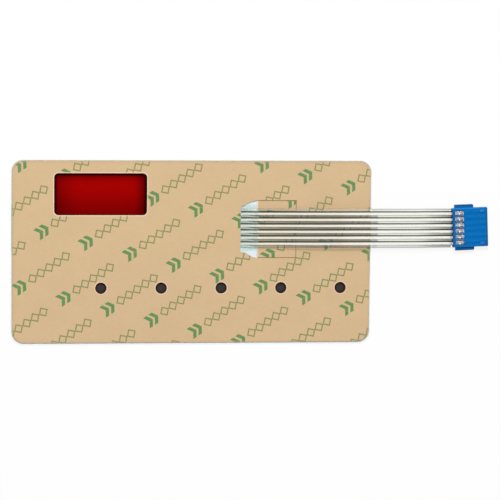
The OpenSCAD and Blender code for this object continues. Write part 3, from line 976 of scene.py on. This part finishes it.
def makeTin():
    s = tinSetup
    material, tree = newMaterial("bright tin")
    place, (x, y, _) = placeOnPart(tree)
    cloud = grain(tree, place, (1.5, 1.5, 1.5), detail=1.0)
    along, _, fromContact = placeOnConnector(x, y)
    fromCrimp = along - connectorSetup["crimpFrom"]
    toCrimpEnd = along * -1.0 + connectorSetup["crimpTo"]
    # painted shade in the seam, on the flank and at the ends
    closed = along.ramp(*s["crestStart"]) * along.ramp(*s["crestEnd"])
    seam = (fromContact - s["seam"]).size().ramp(*s["seamWidth"])
    dim = seam * closed.scaled(*s["seamDim"])
    dim = dim.top(fromContact.ramp(*s["flank"]) * s["flankDim"])
    ends = fromCrimp.ramp(*s["rearEnd"]).top(toCrimpEnd.ramp(*s["frontEnd"]))
    dim = dim.top(ends * s["endDim"])
    ridge = (fromContact - s["ridge"]).size().ramp(*s["ridgeWidth"])
    # painted highlight along a line on each crimp
    highlightLine = (fromContact - s["highlightLine"]).size().ramp(*s["highlightWidth"])
    color = mixColor(tree, cloud.ramp(*s["cloudTones"]), s["shade"], s["color"])
    color = mixColor(tree, highlightLine, color, s["paintedHighlight"])
    principled(
        tree,
        Base_Color=mixColor(tree, dim, color, s["recess"]),
        Metallic=s["metal"],
        Roughness=cloud.scaled(*s["rough"]),
        Normal=bump(tree, cloud + ridge * s["ridgeHeight"], depthMm=0.15),
    )
    return material


dress(makeTin(), *contacts)
print("connector done")

# camera, at the photograph's angle
cameraSetup = {
    "aim": (24.56, 0.79, 0.0),  # mm, the point at the middle of the picture
    "distance": 1057.1,         # mm
    "azimuth": 140.67,          # degrees from +X towards +Y, the side that the camera stands on
    "elevation": 81.37,
    "roll": 0.56,
    "lens": 180.0,              # mm
    "sensor": 36.0,             # mm
    "clip": (0.01, 20.0),       # metres
}


def placeCamera():
    s = cameraSetup
    azimuth = math.radians(s["azimuth"])
    elevation = math.radians(s["elevation"])
    back = Vector((
        math.cos(azimuth) * math.cos(elevation),
        math.sin(azimuth) * math.cos(elevation),
        math.sin(elevation),
    ))
    right = Vector((0.0, 1.0, 0.0)).cross(back).normalized()
    up = back.cross(right)
    turn = Matrix((right, up, back)).transposed() @ Matrix.Rotation(math.radians(s["roll"]), 3, "Z")
    data = bpy.data.cameras.new("camera")
    data.lens = s["lens"]
    data.sensor_width = s["sensor"]
    data.clip_start, data.clip_end = s["clip"]
    camera = bpy.data.objects.new("camera", data)
    stand = (Vector(s["aim"]) + back * s["distance"]) * mm
    camera.matrix_world = Matrix.Translation(stand) @ turn.to_4x4()
    bpy.context.collection.objects.link(camera)
    bpy.context.scene.camera = camera


placeCamera()

# soft studio light: a key from the window's side and white walls under a dark ceiling
lightSetup = {
    "aim": (30.0, 0.0, 0.0),
    "keyFrom": (-0.10, 0.80, 1.0),
    "keyDistance": 1500.0,      # mm
    "keySize": 330.0,
    "keyPower": 18.5,
    "walls": 1.25,
    "ceiling": 0.06,
}
white = (1.0, 1.0, 1.0)


def addSoftbox(name, place, aim, size, power):
    data = bpy.data.lights.new(name, "AREA")
    data.shape = "SQUARE"
    data.size = size * mm
    data.energy = power
    lamp = bpy.data.objects.new(name, data)
    lamp.location = Vector(place) * mm
    lamp.rotation_mode = "QUATERNION"
    lamp.rotation_quaternion = (Vector(aim) - Vector(place)).to_track_quat("-Z", "Y")
    bpy.context.collection.objects.link(lamp)


def placeLights():
    s = lightSetup
    keyPlace = Vector(s["aim"]) + Vector(s["keyFrom"]).normalized() * s["keyDistance"]
    addSoftbox("keyLight", keyPlace, s["aim"], s["keySize"], s["keyPower"])
    world = bpy.data.worlds.new("studio")
    world.use_nodes = True
    bpy.context.scene.world = world
    tree = world.node_tree
    tree.nodes.clear()
    path = tree.nodes.new("ShaderNodeLightPath")
    seen = Wire(tree, path.outputs["Is Camera Ray"])
    coords = tree.nodes.new("ShaderNodeTexCoord")
    split = tree.nodes.new("ShaderNodeSeparateXYZ")
    tree.links.new(coords.outputs["Generated"], split.inputs[0])
    rise = Wire(tree, split.outputs[2]).top(0.0)
    level = rise.scaled(s["walls"], s["ceiling"] - s["walls"])
    sky = plainShader(tree, "ShaderNodeBackground", Color=white, Strength=level)
    backdrop = plainShader(tree, "ShaderNodeBackground", Color=white, Strength=1.0)
    output = tree.nodes.new("ShaderNodeOutputWorld")
    plug(tree, mixShader(tree, seen, sky, backdrop), output.inputs["Surface"])


placeLights()

# pale floor just under the part, lifted to white where it is looked at
floorSetup = {
    "side": 6.0,    # metres
    "drop": 0.02,   # mm
    "color": (0.90, 0.90, 0.90),
    "whiteShare": 0.85,
}


def placeFloor():
    s = floorSetup
    half = s["side"] / 2
    corners = [(-half, -half, 0.0), (half, -half, 0.0), (half, half, 0.0), (-half, half, 0.0)]
    mesh = bpy.data.meshes.new("floor")
    mesh.from_pydata(corners, [], [(0, 1, 2, 3)])
    floor = bpy.data.objects.new("floor", mesh)
    floor.location.z = -s["drop"] * mm
    bpy.context.collection.objects.link(floor)
    material, tree = newMaterial("pale floor")
    path = tree.nodes.new("ShaderNodeLightPath")
    seen = Wire(tree, path.outputs["Is Camera Ray"]).top(Wire(tree, path.outputs["Is Glossy Ray"]))
    seen = seen.top(Wire(tree, path.outputs["Is Transmission Ray"]))
    matt = plainShader(tree, "ShaderNodeBsdfDiffuse", Color=s["color"])
    lifted = plainShader(tree, "ShaderNodeEmission", Color=white, Strength=1.0)
    showShader(tree, mixShader(tree, seen * s["whiteShare"], matt, lifted))
    floor.data.materials.append(material)


placeFloor()
print("camera, lights and floor done")

scene = bpy.context.scene
scene.view_settings.view_transform = "Standard"
